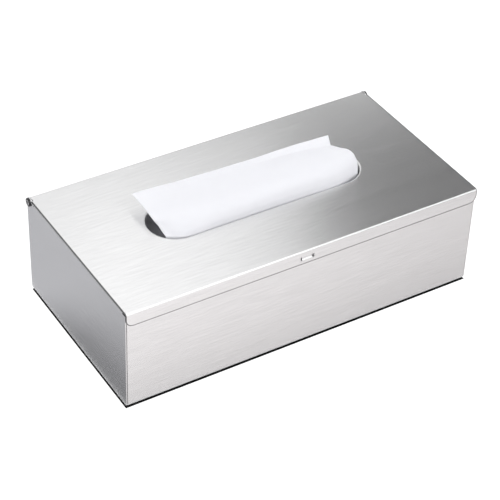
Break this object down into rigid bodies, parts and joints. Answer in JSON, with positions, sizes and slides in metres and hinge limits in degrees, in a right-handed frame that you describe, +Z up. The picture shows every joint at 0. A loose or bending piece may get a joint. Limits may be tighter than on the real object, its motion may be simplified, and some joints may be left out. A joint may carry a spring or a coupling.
{
  "type": "tissue box cover",
  "caption": "Folded stainless box for flat-packed tissues, with a slotted lid that hinges up at the rear on a rod and has a front flange with a detent rib.",
  "frame": {"origin": "under the middle of the box, on the surface that its feet stand on", "axes": "+X to the right along the long front, -Y to the front, where the lid's flange is, +Z up"},
  "size_m": [0.2532, 0.1298, 0.0867],
  "materials": {
    "brushed_sheet": "brushed along the length",
    "rod_steel": "drawn",
    "ring_steel": "dark spring steel",
    "tissue_paper": "soft two-ply",
    "foot_rubber": "matte"
  },
  "bodies": {
    "box": {"body_wrap": "brushed_sheet", "left_end_panel": "brushed_sheet", "right_end_panel": "brushed_sheet", "hinge_rod": "rod_steel", "left_rod_ring": "ring_steel", "right_rod_ring": "ring_steel", "tissue_stack": "tissue_paper", "front_left_foot": "foot_rubber", "rear_left_foot": "foot_rubber", "front_right_foot": "foot_rubber", "rear_right_foot": "foot_rubber"},
    "hinged_lid": {"lid": "brushed_sheet", "pulled_tissue": "tissue_paper"}
  },
  "joints": [
    {"name": "lid_hinge", "type": "hinge", "parent": "box", "child": "hinged_lid", "pos_m": [0, 0.06155, 0.07102], "axis": [-1, 0, 0], "range_deg": [0, 180]}
  ]
}
